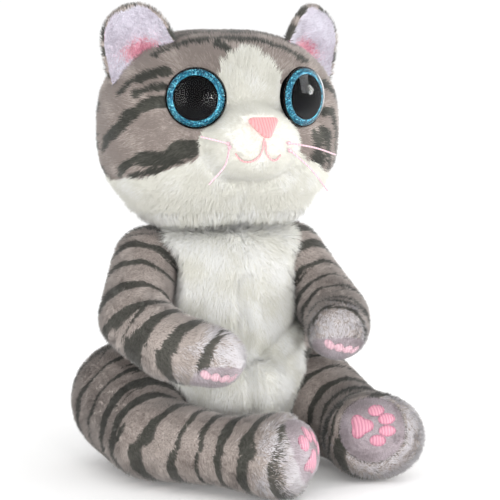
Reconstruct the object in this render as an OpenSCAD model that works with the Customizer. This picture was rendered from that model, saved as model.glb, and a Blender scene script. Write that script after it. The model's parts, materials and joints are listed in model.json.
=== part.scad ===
// Sitting plush cat: stuffed fabric skins, moulded eyes and sewn-on limbs.
// Millimetres. +Z is up, the cat faces -Y and its left side is +X.
// The origin is the middle of the flat seat, on the surface that it sits on.

/* [Head] */
// Width of the head across the cheeks
head_w = 100; // [97:1:104]
// Depth of the head without the muzzle
head_d = 80; // [76:1:84]
// Height of the head
head_h = 82; // [80:1:84]
// Radius of an eye
eye_r = 12.3; // [11.5:0.1:13]

/* [Torso] */
// Width of the torso at the seat
seat_w = 86; // [82:1:90]
// Depth of the torso at the seat
seat_d = 84; // [80:1:88]
// Width of the torso at the chest
chest_w = 80; // [77:1:82]
// Height of the chest's middle above the seat
chest_z = 87; // [86:1:88]

/* [Limbs and tail] */
// Radius of the forearm
arm_r = 14; // [13:0.5:14.5]
// Radius of the thigh
thigh_r = 25; // [23:0.5:26]
// Length of the tail
tail_l = 62; // [50:1:70]

/* [Ears] */
// Height of an ear from its root
ear_h = 27; // [24:1:28]
// Thickness of an ear
ear_t = 6; // [5:0.5:7]

/* [Fabric] */
// Thickness of the plush fabric with its backing
skin = 2; // [1.6:0.1:2.4]
// Gap between two stuffed parts that move on each other
gap = 0.9; // [0.8:0.1:1.2]

/* [Hidden] */
LEFT = 1;
RIGHT = -1;

TAUPE = [0.66, 0.6, 0.58];
CREAM = [0.95, 0.94, 0.88];
LILAC = [0.9, 0.84, 0.88];
PINK = [0.96, 0.6, 0.66];
FIBRE = [0.93, 0.93, 0.92];
BLUE = [0.06, 0.42, 0.62];
BLACK = [0.03, 0.03, 0.03];

outer_fn = 22;    // facets round a stuffed shape
inner_fn = 16;    // facets round what lies inside it
fine_fn = 48;     // facets round a moulded or stitched shape
far = 200;        // longer than anything here
loose = 0.2;      // stuffing and fabric lie this far apart
fabric_fit = 0.1; // two panels of one skin meet this far apart

head_at = [0, -6, 141];
seat_z = 35;      // middle of the torso's round lower half
seat_h = 38;      // half its height before the seat is cut flat
belly_at = [0, -12, 36];
belly_half = [28, 36, 25];
chest_d = 62;
chest_h = 19;     // half the height of the torso's round top
neck_at = [0, -5, 100];
nod_room = 10;    // degrees of nod that the torso leaves room for
head_turn = 25;   // degrees that the head turns each way
neck_r = 17;

shoulder_r = 14.5;
hip_inset = 1;    // the thigh's root is this much smaller than the thigh
hip_swing = 20;   // degrees that a leg splays outward
arm_raise = 35;   // degrees that an arm lifts

// Points are listed from a limb's root to its tip as [position, radius].
ARM = [
    [[[32, -8, 87], shoulder_r], [[38, -21, 74], arm_r - 0.5], [[38, -44, 64], arm_r - 0.5],
     [[32, -57, 61], arm_r - 1]],
    [[[-32, -8, 87], shoulder_r], [[-46, -29, 66], arm_r], [[-37, -48, 57], arm_r],
     [[-22, -60, 53], arm_r - 1.5]]
];
LEG = [
    [[[38, 4, 27], thigh_r], [[46, -33, 19], 17.5], [[44, -58, 18], 16.5]],
    [[[-36, 4, 27], thigh_r], [[-41, -34, 18.5], 17.5], [[-21, -67, 17], 13.5]]
];
// Feet as [middle, half sizes across, along and up, turn about Z].
FOOT = [
    [[44, -66, 18.2], [21.5, 15, 18.2], -30],
    [[-3, -84, 17], [20, 14, 17], 50]
];
// Soles as [tilt up, roll of the toes about the sole's own normal].
SOLE = [[20, -85], [10, -20]];
// Tilt of the palm's normal from straight down, forward and to the cat's right.
PALM = [[38, 14], [34, 12]];

function limb(side) = side > 0 ? 0 : 1;
function suffix(side) = side > 0 ? "_left" : "_right";
function shrink(sizes, by) = [for (s = sizes) s - by];

function detail(inset) = inset > 0 ? inner_fn : outer_fn;

module ellipsoid(half, inset) scale(shrink(half, inset)) sphere(r = 1, $fn = detail(inset));
// A stuffed shape is worked out as one closed mesh.
module sewn() resize([0, 0, 0]) children();

module ball(p, inset) translate(p[0]) sphere(r = p[1] - inset, $fn = detail(inset));

module chain(points, inset) {
    for (i = [1 : len(points) - 1]) hull() {
        ball(points[i - 1], inset);
        ball(points[i], inset);
    }
}

// ---- Torso -------------------------------------------------------------

module torso_form(inset) {
    intersection() {
        union() {
            hull() {
                translate([0, 2, seat_z]) ellipsoid([seat_w / 2, seat_d / 2, seat_h], inset);
                translate([0, -8, chest_z]) ellipsoid([chest_w / 2, chest_d / 2, chest_h], inset);
            }
            translate(belly_at) ellipsoid(belly_half, inset);
        }
        translate([-far / 2, -far / 2, inset]) cube(far);
    }
}

// The room that the root of a leg and of an arm needs over its whole travel.
module limb_room(grow) for (side = [RIGHT, LEFT]) {
    leg = LEG[limb(side)];
    hull() {
        room_ball(leg[0], grow);
        for (turn = [0 : hip_swing / 2 : hip_swing])
            about(leg[0][0], [0, 0, side * turn]) room_ball(leg[1], grow);
    }
    arm = ARM[limb(side)];
    hull() {
        room_ball(arm[0], grow);
        for (lift = [0 : arm_raise / 2 : arm_raise])
            about(arm[0][0], [-lift, 0, 0]) room_ball(arm[1], grow);
    }
    hull() for (lift = [0, arm_raise]) about(arm[0][0], [-lift, 0, 0]) {
        room_ball(arm[1], grow);
        room_ball(arm[2], grow);
    }
}

// A little oversize, so that its flats lie outside the true round.
module room_ball(p, grow) translate(p[0])
    sphere(r = (p[1] + grow) / cos(180 / inner_fn), $fn = inner_fn);

module about(pivot, turn) translate(pivot) rotate(turn) translate(-pivot) children();

module torso_solid(inset) difference() {
    torso_form(inset);
    limb_room(gap + inset);
    room_ball([neck_at, neck_r], gap + inset);
    room_ball([tail_root, tail_r], gap + inset);
    for (tip = [-nod_room, nod_room], turn = [-head_turn, 0, head_turn])
        about(neck_at, [0, 0, turn]) about(neck_at, [tip, 0, 0]) head_form(-gap - inset);
}

module torso_skin() difference() {
    torso_solid(0);
    torso_solid(skin);
}

// Outlines of the white front, in the XZ plane, for x above 0.
chest_outline = [[0, 52], [16, 50], [23, 60], [22, 76], [25, 92], [20, far], [0, far]];
lap_outline = [[0, 12], [13, 14], [16, 30], [16, 50], [0, 52]];
front_y = -24; // the panels lie wholly in front of this

module front_prism(outline, grow) translate([0, front_y, 0]) rotate([90, 0, 0])
    linear_extrude(far) offset(delta = grow) polygon(outline);

module both_sides() {
    children();
    mirror([1, 0, 0]) children();
}

module body_cover() color(TAUPE) sewn() difference() {
    torso_skin();
    both_sides() front_prism(chest_outline, fabric_fit);
    both_sides() front_prism(lap_outline, fabric_fit);
}

module chest_panel(side) color(CREAM) sewn() intersection() {
    torso_skin();
    mirror([side > 0 ? 0 : 1, 0, 0]) translate([fabric_fit / 2, 0, 0]) front_prism(chest_outline, 0);
}

module lap_panel(side) color(CREAM) sewn() intersection() {
    torso_skin();
    mirror([side > 0 ? 0 : 1, 0, 0]) translate([fabric_fit / 2, 0, -fabric_fit])
        front_prism(lap_outline, 0);
}

bag_z = 28; // top of the pellet bag
bag_cloth = 0.6;

module bag_solid(inset) intersection() {
    torso_solid(skin + loose + inset);
    translate([-far / 2, -far / 2, 0]) cube([far, far, bag_z - inset]);
}

module body_stuffing() color(FIBRE) sewn() difference() {
    torso_solid(skin + loose);
    translate([-far / 2, -far / 2, 0]) cube([far, far, bag_z + loose]);
}

// The bag's top has a slit through which it is filled.
module pellet_bag() color(FIBRE) sewn() difference() {
    bag_solid(0);
    bag_solid(bag_cloth);
    translate([-8, -1, bag_z - 3]) cube([16, 2, 6]);
}

module pellet_fill() color(CREAM) sewn() bag_solid(bag_cloth + loose);

// Ladder stitches that close the back seam after stuffing.
stitch_count = 6;
module closure_stitches() color(TAUPE) for (i = [0 : stitch_count - 1])
    translate([0, back_y(24 + 5 * i), 24 + 5 * i]) rotate([0, 90, 0])
        cylinder(h = 4, r = 0.4, center = true, $fn = 16);
// Depth of the torso's back at a height near the seat's middle.
function back_y(z) = 1.8 + seat_d / 2 * sqrt(1 - pow((z - seat_z) / seat_h, 2));

// ---- Neck --------------------------------------------------------------

// The neck is a ball about its own pivot, so the head can turn and nod on it.
module neck_sleeve() color(CREAM) translate(neck_at) rotate_extrude($fn = fine_fn) intersection() {
    difference() {
        circle(r = neck_r, $fn = fine_fn);
        circle(r = neck_r - skin, $fn = fine_fn);
    }
    translate([6, -neck_r]) square([neck_r, 2 * neck_r]);
}

module neck_stuffing() color(FIBRE) translate(neck_at)
    sphere(r = neck_r - skin - loose, $fn = fine_fn);

// ---- Head --------------------------------------------------------------

head_half = [head_w / 2, head_d / 2, head_h / 2];
head_corner = 0.17; // share of each half size that squares the head's round off
head_under = 0.95;  // depth of the head below its middle, as a share of its height above

module head_form(inset) translate(head_at) hull()
    for (x = [-1, 1], y = [-1, 1], z = [-1, 1]) {
        half = [head_half[0], head_half[1], head_half[2] * (z < 0 ? head_under : 1)];
        translate([for (i = [0 : 2]) [x, y, z][i] * half[i] * head_corner])
            ellipsoid(half * (1 - head_corner), inset);
    }

// Hollowed for the neck's ball and dented under each eye.
module head_solid(inset) difference() {
    head_form(inset);
    translate(neck_at) sphere(r = (neck_r + gap + inset) / cos(180 / outer_fn), $fn = outer_fn);
    for (side = [RIGHT, LEFT]) eye_place(side) eye_dent(inset);
}

module eye_place(side) translate(head_at + [side * 22.7, -35, 13.7]) rotate([90, 0, side * 27])
    children();

eye_seat = -0.4;   // the eye's back stands this far off the fabric
stem_r = 2.4;
stem_l = 14;
washer_r = 8;
washer_low = -6;
washer_t = 1.6;

module eye_dent(inset) translate([0, 0, eye_seat - inset])
    cylinder(h = 20, r = eye_r + 0.3 + inset, $fn = outer_fn);

// Room in the fabric for an eye's stem.
module stem_holes() for (side = [RIGHT, LEFT]) eye_place(side) translate([0, 0, -stem_l - 1])
    cylinder(h = stem_l + 2, r = stem_r + 0.2, $fn = inner_fn);

// Room in the stuffing for the washer that holds an eye.
module washer_holes() for (side = [RIGHT, LEFT]) eye_place(side) translate([0, 0, washer_low - loose])
    cylinder(h = -washer_low + loose, r = washer_r + 0.3, $fn = inner_fn);

module head_skin() difference() {
    head_solid(0);
    head_solid(skin);
    stem_holes();
}

blaze_outline = [[0, -8], [14, -8], [12.5, 6], [9.5, 16], [11, 26], [8.5, 33], [0, 37]];
cheek_outline = [[0, -14], [14, -13], [30, -17], [50, -24], [60, -30], [60, -60], [0, -60]];

module head_prism(outline, grow) translate([0, 0, head_at[2]]) front_prism(outline, grow);

module head_cover() color(TAUPE) sewn() difference() {
    head_skin();
    both_sides() head_prism(blaze_outline, fabric_fit);
    both_sides() head_prism(cheek_outline, fabric_fit);
}

module blaze_panel() color(CREAM) sewn() intersection() {
    head_skin();
    both_sides() head_prism(blaze_outline, 0);
}

module cheek_panel(side) color(CREAM) sewn() intersection() {
    head_skin();
    mirror([side > 0 ? 0 : 1, 0, 0]) translate([fabric_fit / 2, 0, 0]) difference() {
        head_prism(cheek_outline, 0);
        head_prism(blaze_outline, fabric_fit);
    }
}

module head_stuffing() color(FIBRE) sewn() difference() {
    head_solid(skin + loose);
    stem_holes();
    washer_holes();
}

muzzle_at = head_at + [0, -37, -4.5];
muzzle_half = [21, 16, 16];

// The muzzle's flat back rests against the face.
module behind_muzzle() translate([-far / 2, head_at[1] - head_d / 2 - 0.2, head_at[2] - far / 2])
    cube(far);

module beside_muzzle(grow) for (side = [RIGHT, LEFT]) eye_place(side) translate([0, 0, -30])
    cylinder(h = 60, r = eye_r + 0.6 + grow, $fn = outer_fn);

module muzzle_form(inset) difference() {
    translate(muzzle_at) ellipsoid(muzzle_half, inset);
    beside_muzzle(inset);
}

module muzzle_cover() color(CREAM) sewn() difference() {
    muzzle_form(0);
    muzzle_form(skin);
    behind_muzzle();
}

module muzzle_stuffing() color(FIBRE) sewn() difference() {
    muzzle_form(skin + loose);
    behind_muzzle();
}

// Depth of the muzzle's face at x and z from its middle.
function muzzle_y(x, z, out = 0) = muzzle_at[1]
    - (muzzle_half[1] + out) * sqrt(1 - pow(x / muzzle_half[0], 2) - pow(z / muzzle_half[2], 2));
function on_muzzle(x, z, out = 0) = [x, muzzle_y(x, z, out), muzzle_at[2] + z];

nose_w = 12;
nose_h = 9;
nose_z = 8.2;
module nose() color(PINK) sewn() hull() {
    for (p = [[-nose_w / 2 + 2, nose_z + 2.2], [nose_w / 2 - 2, nose_z + 2.2], [0, nose_z - nose_h + 4]])
        translate(on_muzzle(p[0], p[1], 0.6)) sphere(r = 2, $fn = inner_fn);
}

thread_r = 0.55;
smile_r = 4.6;
// Two arcs and a short upright line, sewn in satin stitch.
module mouth_stitches() color(PINK) translate(on_muzzle(0, -5.4, 0.1)) {
    for (side = [RIGHT, LEFT]) translate([side * smile_r, 0.4, 0]) rotate([90, 0, side * 10])
        rotate([0, 0, 190]) rotate_extrude(angle = 160, $fn = fine_fn)
            translate([smile_r - 0.6, 0]) circle(r = thread_r, $fn = 16);
    cylinder(h = 5, r = thread_r, $fn = 16);
}

whisker_r = 0.35;
// Each side has two threads from one knot, as [turn about Z, rise, length].
WHISKERS = [[38, -7, 24], [30, -42, 25]];
module whiskers(side) color(PINK) sewn() translate(on_muzzle(side * 12.8, -1.2, 0)) {
    sphere(r = 0.9, $fn = inner_fn);
    for (w = WHISKERS) rotate([0, -side * w[1], side * w[0]]) rotate([0, side * 90, 0])
        cylinder(h = w[2], r1 = whisker_r, r2 = whisker_r * 0.6, $fn = 8);
}

// ---- Eyes --------------------------------------------------------------

lens_h = 6;     // height of the dome above the eye's base
lens_t = 1.2;
plate_t = 1;
pupil_r = eye_r * 0.72;

// Radius of the sphere that a dome of height h over a circle of radius r is cut from.
function dome_r(r, h) = (r * r + h * h) / (2 * h);

module dome(r, h, low) intersection() {
    translate([0, 0, low + h - dome_r(r, h)]) sphere(r = dome_r(r, h), $fn = fine_fn);
    translate([0, 0, low]) cylinder(h = h + 1, r = r, $fn = fine_fn);
}

module eye_base(side) color(BLACK) eye_place(side) union() {
    cylinder(h = plate_t, r = eye_r - 0.8, $fn = fine_fn);
    translate([0, 0, -stem_l]) cylinder(h = stem_l, r = stem_r, $fn = fine_fn);
}

module eye_iris(side) color(BLUE) eye_place(side) translate([0, 0, plate_t + 0.05]) difference() {
    cylinder(h = 0.6, r = eye_r - lens_t - 0.3, $fn = fine_fn);
    translate([0, 0, -1]) cylinder(h = 3, r = pupil_r + 0.05, $fn = fine_fn);
}

module eye_pupil(side) color(BLACK) eye_place(side) translate([0, 0, plate_t + 0.05])
    cylinder(h = 1, r = pupil_r, $fn = fine_fn);

module eye_lens(side) color(BLUE, 0.4) eye_place(side) difference() {
    union() {
        translate([0, 0, plate_t + 0.05]) cylinder(h = 1.2, r = eye_r, $fn = fine_fn);
        dome(eye_r, lens_h - 1.2, plate_t + 1.2);
    }
    translate([0, 0, plate_t - 0.5]) cylinder(h = 1.8, r = eye_r - lens_t, $fn = fine_fn);
}

module eye_washer(side) color(FIBRE) eye_place(side) translate([0, 0, washer_low]) difference() {
    cylinder(h = washer_t, r = washer_r, $fn = fine_fn);
    translate([0, 0, -1]) cylinder(h = washer_t + 2, r = stem_r + 0.05, $fn = fine_fn);
}

// ---- Ears --------------------------------------------------------------

ear_lean = 34;  // degrees that an ear leans outward
ear_turn = 24;  // degrees that its opening faces outward
ear_at = [32, -7, 27];
ear_gap = 2.4;  // room between an ear's root and the head, for it to bend

module ear_place(side) translate(head_at + [side * ear_at[0], ear_at[1], ear_at[2]])
    rotate([0, side * ear_lean, 0]) rotate([0, 0, side * ear_turn]) children();

module ear_form(half_w, h, t) hull() {
    translate([0, 0, 2]) ellipsoid([half_w, t / 2, 10], 0);
    translate([0, 0, h - 14]) ellipsoid([half_w * 0.9, t / 2, 14], 0);
}

module ear_back(side) color(TAUPE) sewn() difference() {
    ear_place(side) ear_form(16, ear_h, ear_t);
    ear_place(side) ear_hollow();
    head_form(-ear_gap);
}

// The front face is scooped out for the lining.
module ear_hollow() translate([0, -ear_t / 2 - 1.2, 0]) ear_form(13.4, ear_h - 2.5, ear_t);

module ear_lining(side) color(LILAC) sewn() difference() {
    ear_place(side) intersection() {
        translate([0, -ear_t / 2 - 1.2, 0]) ear_form(13.2, ear_h - 2.7, ear_t - 0.3);
        ear_form(16, ear_h, ear_t);
    }
    head_form(-ear_gap);
}

// ---- Arms --------------------------------------------------------------

module arm_solid(side, inset) chain(ARM[limb(side)], inset);

module palm_place(side) {
    tip = ARM[limb(side)][3];
    translate(tip[0]) rotate([180 - PALM[limb(side)][0], PALM[limb(side)][1], 0])
        translate([0, 0, tip[1]]) children();
}

palm_r = 10;
module palm_room(grow) translate([0, 0, -4 - grow])
    cylinder(h = 10, r = palm_r + grow, $fn = inner_fn);

module arm_cover(side) color(TAUPE) sewn() difference() {
    arm_solid(side, 0);
    arm_solid(side, skin);
    palm_place(side) palm_room(fabric_fit);
}

module arm_stuffing(side) color(FIBRE) sewn() arm_solid(side, skin + loose);

module palm_patch(side) color(LILAC) sewn() intersection() {
    difference() {
        arm_solid(side, 0);
        arm_solid(side, skin);
    }
    palm_place(side) palm_room(0);
}

// One oval of satin stitch, sewn half a millimetre proud at [across, along] on a round surface.
// The surface is an ellipsoid of half sizes [across, out, along] whose pole is the origin.
module pad(at, w, l, turn, half) {
    fall = [at[0] / half[0], at[1] / half[2]];
    depth = half[1] * (1 - sqrt(1 - fall * fall));
    slope = [for (i = [0 : 1]) half[1] * fall[i] / half[i * 2]];
    translate([at[0], at[1], -depth]) rotate([-atan(slope[1]), atan(slope[0]), turn])
        translate([0, 0, -0.6]) resize([w, l, 0])
            cylinder(h = 1.1, r1 = 1, r2 = 0.85, $fn = inner_fn);
}

module palm_pads(side) color(PINK) palm_place(side) for (i = [-1.5 : 1 : 1.5])
    pad([i * 3.8, 3.8 - abs(i) * 0.9], 3.1, 4.2, -i * 14, [1, 1, 1] * ARM[limb(side)][3][1]);

// ---- Legs --------------------------------------------------------------

module foot_solid(side, inset) {
    foot = FOOT[limb(side)];
    translate(foot[0]) rotate([0, 0, foot[2]]) ellipsoid(foot[1], inset);
}

module leg_solid(side, inset) {
    leg = LEG[limb(side)];
    chain([leg[0], leg[1], leg[2]], inset);
    hull() {
        ball(leg[2], inset);
        foot_solid(side, inset);
    }
}

// The middle of the sole, with +Z out of it and +Y towards the toes.
module sole_place(side) {
    foot = FOOT[limb(side)];
    sole = SOLE[limb(side)];
    translate(foot[0]) rotate([90 - sole[0], 0, foot[2]]) translate([0, 0, foot[1][1]])
        rotate([0, 0, sole[1]]) children();
}

sole_w = 24;
sole_l = 29;
module sole_room(grow) translate([0, 0, -6]) resize([sole_w + 2 * grow, sole_l + 2 * grow, 12])
    cylinder(h = 12, r = 10, $fn = outer_fn);

module leg_cover(side) color(TAUPE) sewn() difference() {
    leg_solid(side, 0);
    leg_solid(side, skin);
    sole_place(side) sole_room(fabric_fit);
}

module leg_stuffing(side) color(FIBRE) sewn() leg_solid(side, skin + loose);

module sole_patch(side) color(LILAC) sewn() intersection() {
    difference() {
        leg_solid(side, 0);
        leg_solid(side, skin);
    }
    sole_place(side) sole_room(0);
}

// Toe pads as [across, along], and one large heel pad.
TOES = [[-8, 2.6], [-4.3, 6.6], [0.5, 6.6], [4.2, 2.6]];
module sole_pads(side) color(PINK) sole_place(side) {
    for (t = TOES) pad(t, 4, 5.6, -t[0] * 2, FOOT[limb(side)][1]);
    pad([-1.9, -3.9], 8.6, 7.4, 0, FOOT[limb(side)][1]);
}

// ---- Tail --------------------------------------------------------------

tail_root = [0, 40, 12];
tail_r = 9;
tail_slit = 5; // the tail is open, and sewn on, beyond this depth in its root
module tail_solid(inset) hull() {
    ball([tail_root, tail_r], inset);
    ball([tail_root + [0, tail_l - 2 * tail_r, -2.5], tail_r - 0.5], inset);
}

// Open where it is sewn to the back.
module tail_cover() color(TAUPE) sewn() difference() {
    tail_solid(0);
    tail_solid(skin);
    translate([-far / 2, tail_root[1] - tail_slit - far, 0]) cube(far);
}

module tail_stuffing() color(FIBRE) sewn() tail_solid(skin + loose);

body_cover();
chest_panel(LEFT);  // chest_panel_left
chest_panel(RIGHT);  // chest_panel_right
lap_panel(LEFT);  // lap_panel_left
lap_panel(RIGHT);  // lap_panel_right
body_stuffing();
pellet_bag();
pellet_fill();
closure_stitches();
neck_sleeve();
neck_stuffing();
head_cover();
blaze_panel();
cheek_panel(LEFT);  // cheek_panel_left
cheek_panel(RIGHT);  // cheek_panel_right
head_stuffing();
muzzle_cover();
muzzle_stuffing();
nose();
mouth_stitches();
whiskers(LEFT);  // whiskers_left
whiskers(RIGHT);  // whiskers_right
for (side = [LEFT, RIGHT]) {
    eye_base(side);
    eye_iris(side);
    eye_pupil(side);
    eye_lens(side);
    eye_washer(side);
    ear_back(side);
    ear_lining(side);
    arm_cover(side);
    arm_stuffing(side);
    palm_patch(side);
    palm_pads(side);
    leg_cover(side);
    leg_stuffing(side);
    sole_patch(side);
    sole_pads(side);
}
tail_cover();
tail_stuffing();
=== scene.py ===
# Sitting plush cat: stuffed skins with a real pile, moulded eyes and embroidered details.
# Lengths in the tables below are millimetres in the CAD frame: the cat faces -Y and its left side is +X.
import math

import bmesh
import bpy
import numpy as np
from mathutils import Matrix, Vector
from mathutils.bvhtree import BVHTree
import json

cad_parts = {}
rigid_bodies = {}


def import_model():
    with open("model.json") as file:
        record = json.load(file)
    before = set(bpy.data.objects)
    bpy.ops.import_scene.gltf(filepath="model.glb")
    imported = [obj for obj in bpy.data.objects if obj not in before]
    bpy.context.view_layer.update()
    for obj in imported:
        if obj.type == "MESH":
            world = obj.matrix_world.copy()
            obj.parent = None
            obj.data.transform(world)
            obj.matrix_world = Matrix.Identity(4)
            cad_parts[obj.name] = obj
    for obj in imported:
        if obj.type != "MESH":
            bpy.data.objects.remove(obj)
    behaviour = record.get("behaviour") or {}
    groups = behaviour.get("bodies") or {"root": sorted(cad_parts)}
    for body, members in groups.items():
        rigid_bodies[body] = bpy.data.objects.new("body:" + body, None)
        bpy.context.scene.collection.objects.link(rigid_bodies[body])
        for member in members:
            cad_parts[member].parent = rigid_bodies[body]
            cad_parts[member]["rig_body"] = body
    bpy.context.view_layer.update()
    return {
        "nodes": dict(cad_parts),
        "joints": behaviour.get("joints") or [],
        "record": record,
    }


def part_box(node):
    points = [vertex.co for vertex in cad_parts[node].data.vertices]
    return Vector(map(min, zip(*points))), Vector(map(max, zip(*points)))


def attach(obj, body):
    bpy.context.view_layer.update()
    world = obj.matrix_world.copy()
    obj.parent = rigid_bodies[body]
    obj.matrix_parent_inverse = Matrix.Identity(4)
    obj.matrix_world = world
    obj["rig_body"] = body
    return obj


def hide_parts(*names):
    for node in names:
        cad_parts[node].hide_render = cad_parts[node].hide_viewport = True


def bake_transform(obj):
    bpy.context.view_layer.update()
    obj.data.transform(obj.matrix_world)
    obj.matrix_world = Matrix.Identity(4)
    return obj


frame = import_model()

scene = bpy.context.scene
MM = 0.001
SEED = 7
SIDES = {"left": 1, "right": -1}

# ---- Where things are, from the frame ------------------------------------------------------


def joint_at(name):
    return np.array(next(j for j in frame["joints"] if j["name"] == name)["pos_m"]) / MM


TAIL_ROOT = joint_at("tail_wag")
SHOULDER = {s: joint_at(f"shoulder_{s}") for s in SIDES}
HIP = {s: joint_at(f"hip_{s}") for s in SIDES}
EAR_ROOT = {s: joint_at(f"ear_fold_{s}") for s in SIDES}
head_low, head_high = (np.array(corner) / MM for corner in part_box("head_cover"))
HEAD = np.array([0.0, (head_low[1] + head_high[1]) / 2, 141.0])  # the head's middle
FAR = 99.0  # stands for no seam near, in mm

# The middle line of each limb, from its root to its tip.
ARM_LINE = {
    "left": [SHOULDER["left"], (38, -21, 74), (38, -44, 64), (32, -57, 61)],
    "right": [SHOULDER["right"], (-46, -29, 66), (-37, -48, 57), (-22, -60, 53)],
}
LEG_LINE = {
    "left": [HIP["left"], (46, -33, 19), (44, -56, 18), (44, -69, 18)],
    "right": [HIP["right"], (-41, -34, 18.5), (-21, -67, 17), (-3, -86, 17)],
}
TAIL_LINE = [TAIL_ROOT, TAIL_ROOT + (0, 48, -2.5)]


def unit(v):
    return v / np.maximum(np.linalg.norm(v, axis=-1, keepdims=True), 1e-9)


def wobble(p, reach, seed, lanes=1):
    """Smooth noise at points p, about -1 to 1, whose lumps are about reach across."""
    rng = np.random.default_rng(SEED + seed)
    total = np.zeros((len(p), lanes))
    for _ in range(6):
        way = unit(rng.normal(size=(lanes, 3))) * (2 * math.pi / reach) * rng.uniform(0.5, 1.1, (lanes, 1))
        total += np.sin(p @ way.T + rng.uniform(0, 2 * math.pi, lanes))
    total /= 2.6
    return total[:, 0] if lanes == 1 else total


def along(line, p):
    """Each point's place along a limb's middle line, in mm, and the line's direction there."""
    line = np.array([np.array(q, float) for q in line])
    place, way, share = np.zeros(len(p)), np.zeros_like(p), np.zeros(len(p))
    parts, start = [], 0.0
    for a, b in zip(line[:-1], line[1:]):
        length = np.linalg.norm(b - a)
        t = (p - a) @ (b - a) / length
        inside = np.clip(t, 0, length)
        apart = np.linalg.norm(p - a - np.outer(inside, (b - a) / length), axis=1)
        parts.append((start + t, apart, (b - a) / length))
        start += length
    nearest = np.min([q[1] for q in parts], axis=0)
    for s, apart, d in parts:
        w = np.exp(-((apart - nearest) / 4.0))
        place += w * s
        way += w[:, None] * d
        share += w
    return place / share, unit(way)


def near_line(points, p):
    """Distance from each p to a polyline of points."""
    points = np.array(points, float)
    best = np.full(len(p), 1e9)
    for a, b in zip(points[:-1], points[1:]):
        t = np.clip((p - a) @ (b - a) / ((b - a) @ (b - a)), 0, 1)
        best = np.minimum(best, np.linalg.norm(p - a - np.outer(t, b - a), axis=1))
    return best


def arc(points, count):
    """A smooth curve through some points."""
    points = np.array(points, float)
    ends = np.concatenate([[2 * points[0] - points[1]], points, [2 * points[-1] - points[-2]]])
    out = []
    for k in range(len(points) - 1):
        a, b, c, d = ends[k:k + 4]
        for t in np.linspace(0, 1, count, endpoint=False):
            out.append(0.5 * (2 * b + (c - a) * t + (2 * a - 5 * b + 4 * c - d) * t * t
                              + (3 * b - a - 3 * c + d) * t ** 3))
    out.append(points[-1])
    return np.array(out)


# ---- The coat's pattern ---------------------------------------------------------------------
# Each point of the coat gets a zone, and within the grey a share of stripe from 0 to 1.
GREY, CREAM = 0, 1
STRIPE_STEP = 11.2  # from one limb stripe to the next
STRIPE_HALF = 1.75  # half a stripe's width


def bands(place, p, seed, step=STRIPE_STEP, half=STRIPE_HALF):
    """Tiger stripes across a limb or the body, as a share from 0 to 1. No two are alike."""
    rng = np.random.default_rng(SEED + seed)
    s = place + 2.4 * wobble(p, 40, seed) + 0.5 * wobble(p, 8, seed + 1)
    best = np.zeros(len(p))
    swell = wobble(p, 30, seed + 2)
    for k in range(-4, 18):
        middle = (k + 0.5) * step + rng.uniform(-1.3, 1.3)
        wide = half * rng.uniform(0.8, 1.25) * np.clip(1 + 0.45 * swell, 0.25, 1.5)
        best = np.maximum(best, np.clip((wide - np.abs(s - middle)) / 0.5 + 0.5, 0, 1))
        # A thinner branch leaves some of the stripes.
        branch = middle + rng.uniform(2.5, 4.5) * (0.4 + wobble(p, 26, seed + 40 + k))
        thin = 1.1 * np.clip(wobble(p, 30, seed + 80 + k) + rng.uniform(-0.6, 0.5), 0, 1)
        best = np.maximum(best, np.clip((thin - np.abs(s - branch)) / 0.5 + 0.3, 0, 1) * (thin > 0.2))
    return best


def strokes(p, lines):
    """Painted stripes: each line is (half width, points)."""
    best = np.zeros(len(p))
    q = p + 0.8 * wobble(p, 8, 40, 3)
    for half, points in lines:
        best = np.maximum(best, np.clip((half - near_line(points, q)) / 0.5 + 0.5, 0, 1))
    return best


def drawn_on(body, middle, lines):
    """The same stripes with their points moved onto a body's skin."""
    find = skins[body].bvh.find_nearest
    return [(half, [np.array(find(Vector(q + middle))[0]) - middle for q in arc(points, 6)])
            for half, points in lines]


# Stripes on the face, from the head's middle.
TEMPLE = [
    (1.7, [(-48, -12, 16), (-46, -15, 19), (-43, -19, 21.5)]),
    (2.3, [(-43, -19, 21.5), (-38, -24, 23.5), (-33, -28, 24.5)]),
    (2.0, [(-44, -21, 15), (-40, -26, 17.5), (-35, -31, 19.5)]),
    (1.7, [(-51, 4, -9), (-51, -3, -4)]),
    (2.3, [(-51, -3, -4), (-50, -14, 1.5), (-46, -22, 7), (-40, -28, 11), (-34, -33, 12.5)]),
    (2.0, [(-49, -8, -20), (-48, -15, -15), (-45, -21, -12)]),
    (3.1, [(-43, -25, -11), (-37, -31, -10), (-29, -36, -7.5), (-20, -39, -4)]),
    (1.3, [(-46, -17, -20), (-42, -25, -18), (-36, -31, -15), (-28, -36, -12)]),
    (1.3, [(-50, 6, -22), (-50, 12, -12)]),
]
CROWN = [
    (2.0, [(-33, -18, 32), (-22, -21, 36), (-11, -22, 38), (2, -22, 38.5)]),
    (2.0, [(2, -22, 38.5), (11, -23, 37), (19, -26, 33), (28, -27, 29)]),
    (2.1, [(-30, -14, 35), (-16, -13, 40), (2, -13, 41), (18, -14, 39), (30, -16, 34)]),
    (2.2, [(-38, -3, 33), (-26, -5, 38), (-12, -5, 40), (4, -5, 41), (18, -5, 40), (32, -5, 36)]),
    (1.8, [(-8, -25, 36), (-5, -29, 33)]),
]
LEFT_CHEEK = [
    (2.2, [(33, -35, 21), (38, -31, 21), (43, -25, 17), (46, -17, 12)]),
    (2.3, [(36, -34, 9), (41, -30, 8), (44, -26, 1), (45, -23, -8), (45, -20, -16)]),
    (2.6, [(34, -35, 0), (37, -32, -4), (38, -31, -9)]),
    (1.8, [(38, -31, -9), (41, -28, -14), (42, -25, -18)]),
    (2.3, [(29, -37, -2), (32, -35, -5)]),
    (3.3, [(31, -36, -10), (34, -33, -15)]),
    (2.3, [(50, -6, 14), (49, -8, 2), (50, -4, -10)]),
]


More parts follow.
